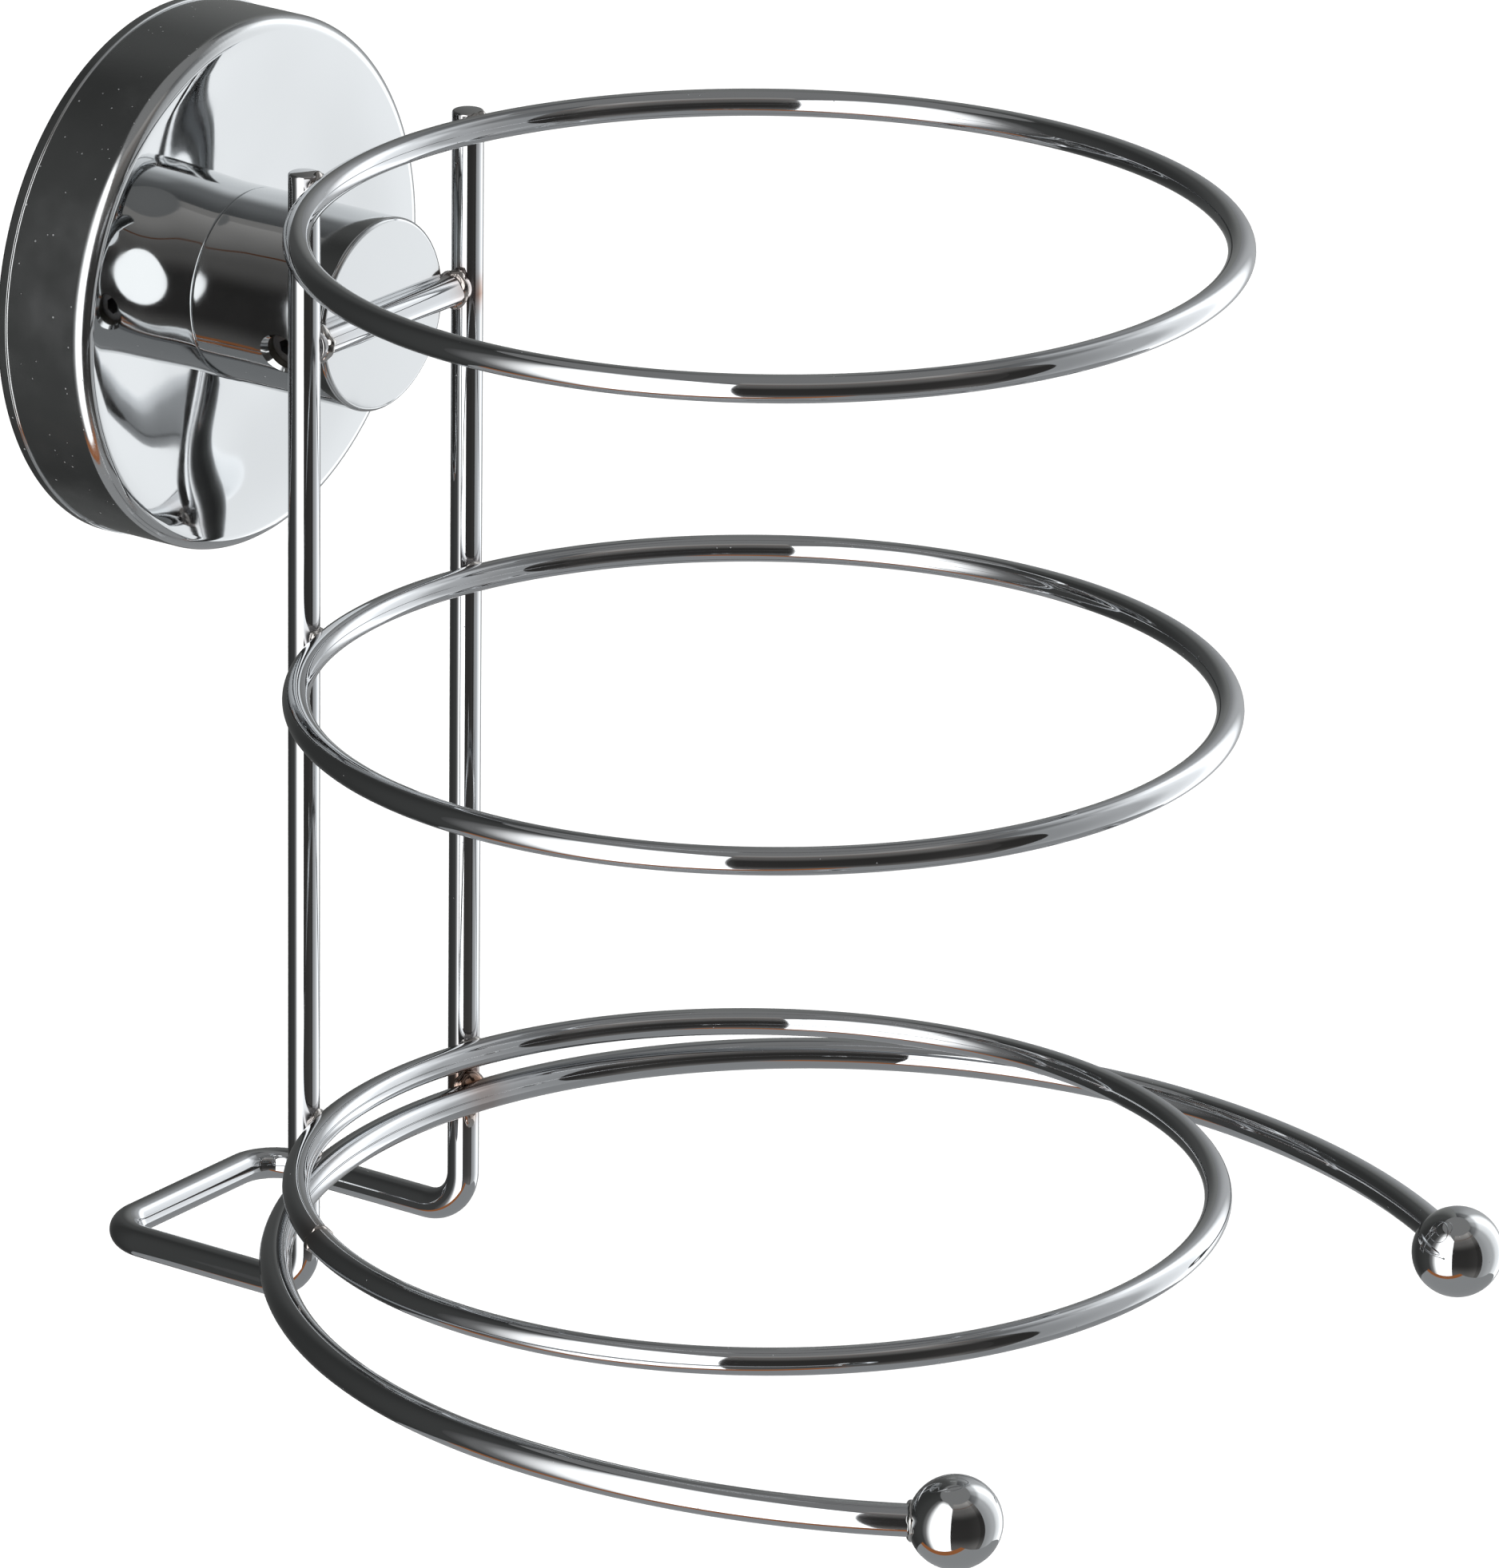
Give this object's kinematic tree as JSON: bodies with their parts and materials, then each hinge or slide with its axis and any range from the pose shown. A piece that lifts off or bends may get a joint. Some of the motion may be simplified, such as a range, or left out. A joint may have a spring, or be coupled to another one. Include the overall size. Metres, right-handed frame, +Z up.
{
  "type": "hair dryer holder",
  "caption": "Wall-mounted chrome wire holder: stacked rings take a hair dryer's barrel, with an open ball-ended fork beneath them for its cord.",
  "frame": {"origin": "on the wall plane, at the axis of the post and the middle of the two wall screw holes", "axes": "+Y into the wall, so the holder stands out along -Y; +Z up; +X to the right of someone facing the wall"},
  "size_m": [0.1294, 0.1459, 0.1407],
  "materials": {
    "chrome_wire": "bright chrome plate on steel wire",
    "chrome_turned": "polished chrome plate on a turned sleeve",
    "chrome_drawn": "polished chrome plate on a drawn cup",
    "zinc_plate": "zinc-plated steel",
    "zinc_screw": "zinc-plated countersunk screw",
    "steel_grub": "stainless grub screw, dulled"
  },
  "bodies": {
    "bracket": {"wall_plate": "zinc_plate", "post": "zinc_plate", "post_screw": "zinc_screw"},
    "holder": {"rosette": "chrome_drawn", "sleeve": "chrome_turned", "cross_bar": "chrome_wire", "frame": "chrome_wire", "top_ring": "chrome_wire", "middle_ring": "chrome_wire", "bottom_ring": "chrome_wire", "fork": "chrome_wire", "ball_left": "chrome_turned", "ball_right": "chrome_turned"},
    "grub": {"grub_screw": "steel_grub"}
  },
  "joints": [
    {"name": "holder_slide", "type": "slide", "parent": "bracket", "child": "holder", "axis": [0, -1, 0], "range_m": [0, 0.014]},
    {"name": "grub_travel", "type": "slide", "parent": "holder", "child": "grub", "axis": [-0.9563, 0, -0.2924], "range_m": [0, 0.003]}
  ]
}
